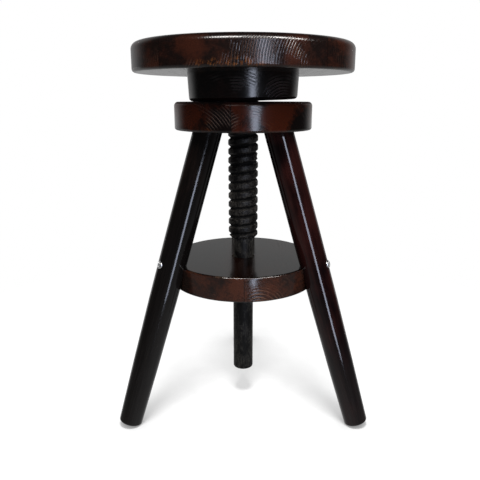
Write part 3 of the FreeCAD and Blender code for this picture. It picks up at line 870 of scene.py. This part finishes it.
def build_shank():
    """The plain shank below the thread, with its lower end rounded."""
    rounding = SHANK_END_ROUNDING
    rounding_steps = 6
    outline = [(0.0, shank_low.z)]
    for i in range(rounding_steps + 1):
        turn = math.pi / 2 * i / rounding_steps
        outline.append((SHANK_RADIUS - rounding + rounding * math.sin(turn),
                        shank_low.z + rounding - rounding * math.cos(turn)))
    outline += [(SHANK_RADIUS, shank_high.z), (0.0, shank_high.z)]
    shank = object_from(lathe(outline, 96), "turned_shank")
    smooth_by_angle(shank, 40.0)
    give(shank, matt_wood("shank_wood", turned_timber(33.0, MATT_GREY)))
    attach(shank, "riser")
    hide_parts("spindle_shank")
    return shank


# The steel screws


def steel(name):
    """Bright zinc-plated steel with fine marks."""
    material, graph = new_material(name)
    grime = graph.noise(graph.place(), 600.0, 3.0)
    colour = graph.ramp(grime, [(0.25, (0.55, 0.54, 0.53)), (0.5, (0.88, 0.88, 0.88))])
    rough = graph.span(grime, 0.3, 0.7, 0.20, 0.36)
    graph.show_surface(colour, rough, graph.bumps([(grime, 0.00003)]), metallic=1.0)
    return material


def button_head_screw(name, place):
    """A screw with a domed head and a hexagon socket, made about z with z = 0 on the leg's centre line."""
    steps = 48
    dome_steps = 10
    point_length = 0.003
    edge = 0.0003
    socket_bevel = 0.00018
    seat = LEG_RADIUS_AT_SCREW - SHELF_SCREW_SEAT_DEPTH
    tip = -LEG_RADIUS_AT_SCREW - SHELF_SCREW_EMBEDMENT
    crown = seat + SHELF_SCREW_HEAD_HEIGHT
    band = seat + 0.0007
    flat = SOCKET_ACROSS_FLATS * 0.68
    outline = [
        (SHELF_SCREW_RADIUS * 0.4, tip),
        (SHELF_SCREW_RADIUS, tip + point_length),
        (SHELF_SCREW_RADIUS, seat),
        (SHELF_SCREW_HEAD_RADIUS - edge, seat),
        (SHELF_SCREW_HEAD_RADIUS, seat + edge),
    ]
    for i in range(dome_steps + 1):
        share = math.radians(90.0 * i / dome_steps)
        radius = flat + (SHELF_SCREW_HEAD_RADIUS - flat) * math.cos(share)
        outline.append((radius, band + (crown - band) * math.sin(share)))
    socket_bottom = crown - SOCKET_DEPTH
    rings = [[(0.0, tip)]] + [[point] * steps for point in outline]
    for bevel, height in ((socket_bevel, crown), (0.0, crown - socket_bevel), (0.0, socket_bottom)):
        ring = []
        for i in range(steps):
            turn = math.radians(360.0 * i / steps % 60.0 - 30.0)
            ring.append(((SOCKET_ACROSS_FLATS / 2 + bevel) / math.cos(turn), height))
        rings.append(ring)
    rings.append([(0.0, socket_bottom - 0.0008)])
    made = mesh_of_rings(rings, Vector((0.0, 0.0, 0.0)))
    made.transform(place)
    return object_from(made, name)


def build_shelf_screws(material):
    """The bright screws through the legs into the shelf's edge."""
    splay = math.radians(LEG_SPLAY)
    drop = (hub_low.z - shelf_high.z - SHELF_SCREW_RISE) / math.cos(splay)
    pieces = []
    for name, angle in LEG_ANGLES.items():
        place = Matrix.Translation(AXIS)
        place = place @ Matrix.Rotation(math.radians(angle), 4, "Z")
        place = place @ Matrix.Translation((LEG_CIRCLE_RADIUS, 0.0, hub_low.z))
        place = place @ Matrix.Rotation(-splay, 4, "Y")
        place = place @ Matrix.Translation((0.0, 0.0, -drop))
        place = place @ Matrix.Rotation(math.radians(SHELF_SCREW_AIM), 4, "Z")
        place = place @ Matrix.Rotation(math.radians(90.0), 4, "Y")
        piece = button_head_screw(name.replace("leg", "shelf_screw"), place)
        smooth_by_angle(piece, 35.0)
        give(piece, material)
        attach(piece, "stand")
        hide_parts("shelf_screws")
        pieces.append(piece)
    return pieces


# Floor, light and camera


def build_floor():
    """A pale round floor that fades into the white round it.

    It glows a little, as an overexposed studio floor does, and throws no light back on the stool.
    Its glow is dimmed close under the stool as a painted contact shadow."""
    radius = 0.75
    fade_start = 0.42
    fade_end = 0.70
    contact_shadow_reach = 0.13
    made = bmesh.new()
    bmesh.ops.create_circle(made, cap_ends=True, radius=radius, segments=96)
    floor = object_from(made, "floor")
    material, graph = new_material("floor_white")
    place = graph.place()
    speck = graph.noise(place, 30.0, 3.0)
    paint = graph.ramp(speck, [(0.3, (0.05, 0.05, 0.05)), (0.7, (0.06, 0.06, 0.06))])
    # Painted shadow: ambient occlusion dims the glow close to the stool, a contact shadow under its feet
    near = graph.node("ShaderNodeAmbientOcclusion", samples=16)
    graph.put(near.inputs["Distance"], contact_shadow_reach)
    level = graph.span(near.outputs["AO"], 0.10, 0.94, 0.24, 0.70, smooth=False)
    matt = graph.shader("ShaderNodeBsdfDiffuse", {"Color": paint})
    base = graph.shader("ShaderNodeEmission", {"Strength": level})
    lit = graph.joined("ShaderNodeAddShader", matt, base)
    beyond = graph.shader("ShaderNodeEmission", {"Strength": 1.02})
    fade = graph.span(graph.vector("LENGTH", place), fade_start, fade_end)
    graph.show(graph.joined("ShaderNodeMixShader", fade, lit, beyond))
    give(floor, material)
    floor.visible_glossy = False
    floor.visible_diffuse = False
    floor.visible_shadow = False
    return floor


def soft_box(name, place, target, size, power, colour):
    """An area lamp of (width, height) that faces its target, and that the camera doesn't see."""
    light = bpy.data.lights.new(name, "AREA")
    light.shape = "RECTANGLE"
    light.size, light.size_y = size
    light.energy = power
    light.color = colour
    lamp = bpy.data.objects.new(name, light)
    lamp.location = place
    lamp.rotation_euler = (Vector(target) - Vector(place)).to_track_quat("-Z", "Y").to_euler()
    lamp.visible_camera = False
    bpy.context.scene.collection.objects.link(lamp)
    return lamp


def group_of(name, pieces):
    """A collection of those pieces, which isn't in the scene."""
    group = bpy.data.collections.new(name)
    for piece in pieces:
        group.objects.link(piece)
    return group


def light_only(lamp, name, pieces):
    """Lets a lamp light only those pieces, grouped under that name."""
    lamp.light_linking.receiver_collection = group_of(name, pieces)


def at(x, in_front, height):
    """A place given from the foot of the screw's axis, in_front towards the camera."""
    return Vector((x, AXIS_Y - in_front, height))


def light_from_window(pieces):
    """A tall soft box a little right of the camera, and below it a dim one for the left leg alone."""
    turn = math.radians(19.0)
    distance = 2.2
    width = 0.42
    left_leg = nodes["leg_front_left"]
    others = [piece for piece in pieces if piece != left_leg]
    for name, height, aim, tall, power, group, lit in (
        ("window_light", 0.60, 0.45, 1.60, 18.5, "window_pieces", others),
        ("window_light_low", 0.12, 0.10, 0.80, 8.0, "low_window_pieces", [left_leg]),
    ):
        place = at(distance * math.sin(turn), distance * math.cos(turn), height)
        lamp = soft_box(name, place, at(0.0, 0.0, aim), (width, tall), power, WINDOW_BLUE)
        light_only(lamp, group, lit)


def light_from_ceiling(boards):
    """A wide lamp high in front for all, and two long ones beside it for the boards alone."""
    in_front = 1.45
    height = 1.95
    depth = 0.46
    soft_box("ceiling_light", at(0.0, in_front, height), at(0.0, 0.0, 0.4), (1.6, 0.8), 22.0, WARM_WHITE)
    for name, x, width, power in (("high_left", -0.54, 0.99, 38.0), ("high_right", 1.68, 1.90, 54.0)):
        lamp = soft_box(name, at(x, in_front, height), at(x, 0.0, 0.5), (width, depth), power * width,
                        WARMER_WHITE)
        light_only(lamp, name + "_pieces", boards)


def light_glint(shelf_boards):
    """A tiny lamp close in front of the shelf and a little lower, for the glint on its rim."""
    glint = at(0.0145, 0.1125, shelf_high.z - 0.006)
    turn = math.radians(16.0)
    place = glint + 0.15 * Vector((math.sin(turn), -math.cos(turn), -0.345))
    lamp = soft_box("floor_glint", place, glint, (0.026, 0.012), 0.016, GLINT_BLUE)
    light_only(lamp, "shelf_pieces", shelf_boards)


def light_steel(bright_pieces):
    """A lamp on each side, for the sparkle on the steel screws."""
    for side in (-1, 1):
        target = at(side * 0.13, 0.08, 0.24)
        lamp = soft_box("sparkle", at(side * 1.0, -0.35, 0.35), target, (0.5, 0.5), 1.0, WHITE)
        light_only(lamp, "bright_pieces", bright_pieces)


def light_back(pieces):
    """Two lamps behind the stool, which aren't mirrored in the lacquer."""
    for side, power in ((-1, 85.0), (1, 75.0)):
        lamp = soft_box("rear_light", at(side * 1.4, -1.7, 1.3), at(0.0, 0.0, 0.3), (1.2, 1.2), power,
                        WARM_WHITE)
        lamp.visible_glossy = False
        light_only(lamp, "rear_pieces", pieces)


def light_floor(floor, shadow_pieces):
    """A lamp overhead, a little in front, that lights the floor and throws those pieces' shadows."""
    height = 1.9
    in_front = height * math.tan(math.radians(13.5))
    lamp = soft_box("floor_light", at(0.0, in_front, height), at(0.0, 0.0, 0.0), (0.46, 0.46), 290.0, WHITE)
    light_only(lamp, "floor_pieces", [floor])
    lamp.light_linking.blocker_collection = group_of("floor_shadows", shadow_pieces)


def light_the_room():
    """White to the camera's own rays, and to all others a dim room.

    The room has a pale wall behind the stool, as wide as the lacquer shows it, with a brighter band
    just below the horizon, and is lighter towards the floor."""
    world = bpy.data.worlds.new("room")
    bpy.context.scene.world = world
    world.use_nodes = True
    graph = Graph(world.node_tree)
    direction = graph.node("ShaderNodeTexCoord").outputs["Generated"]
    x, y, z = graph.separate(direction)
    turn = graph.math("ARCTAN2", x, y)
    right = graph.span(turn, math.radians(28.0), math.radians(66.0), 1.0, 0.0)
    left = graph.span(turn, math.radians(-40.0), math.radians(-72.0), 1.0, 0.0)
    height = graph.span(z, 0.45, 0.80, 1.0, 0.0)
    depth = graph.span(z, -0.60, -0.05, 0.56, 1.0)
    wall = graph.times(graph.times(left, right), graph.times(height, depth))
    band = graph.times(graph.span(z, -0.075, -0.055), graph.span(z, -0.018, -0.032))
    strength = graph.math("MULTIPLY_ADD", band, 0.20, 0.34)
    bounce = graph.span(z, -0.05, -0.60, 0.022, 0.30, smooth=False)
    level = graph.math("MULTIPLY_ADD", wall, strength, bounce)
    dim = graph.shader("ShaderNodeBackground", {"Color": graph.combine(level, level, level)})
    white = graph.shader("ShaderNodeBackground", {"Color": (*WHITE, 1.0)})
    seen = graph.node("ShaderNodeLightPath").outputs["Is Camera Ray"]
    graph.show(graph.joined("ShaderNodeMixShader", seen, dim, white), "ShaderNodeOutputWorld")


def light_the_scene(turned, bright_pieces, floor):
    """Every lamp, and the room."""
    seat_boards = [nodes["seat_board_%d" % (i + 1)] for i in range(4)]
    shelf_boards = [nodes["shelf_board_%d" % (i + 1)] for i in range(3)]
    wood = [*nodes.values(), *turned]
    light_from_window([*wood, *bright_pieces])
    light_from_ceiling(seat_boards + shelf_boards)
    light_glint(shelf_boards)
    light_steel(bright_pieces)
    light_back(wood)
    light_floor(floor, [*turned, *(nodes[name] for name in LEG_ANGLES)])
    light_the_room()


def place_camera():
    """The photograph's camera, straight in front of the stool and a little above the hub."""
    camera = bpy.data.cameras.new("camera")
    camera.sensor_width = SENSOR_WIDTH_IN_MM
    camera.lens = FOCAL_LENGTH_IN_PIXELS * SENSOR_WIDTH_IN_MM / PHOTO_SIZE
    camera.shift_x = -AXIS_PIXEL_OFFSET / PHOTO_SIZE
    holder = bpy.data.objects.new("camera", camera)
    holder.location = (0.0, AXIS_Y - CAMERA_DISTANCE, CAMERA_HEIGHT)
    holder.rotation_euler = (math.radians(90.0 - CAMERA_PITCH), 0.0, 0.0)
    bpy.context.scene.collection.objects.link(holder)
    bpy.context.scene.camera = holder
    bpy.context.scene.view_settings.view_transform = "Standard"


paint_seat()
paint_boss()
paint_hub()
paint_shelf()
paint_legs()
turned_pieces = [build_screw(), build_shank()]
plain_steel = steel("bright_steel")
shelf_screws = build_shelf_screws(plain_steel)
give(nodes["boss_screws"], plain_steel)
give(nodes["spindle_wedge"], stained_wood("wedge_wood", Timber(grain=UPRIGHT, **BARE), polish=0.2))
light_the_scene(turned_pieces, shelf_screws, build_floor())
place_camera()
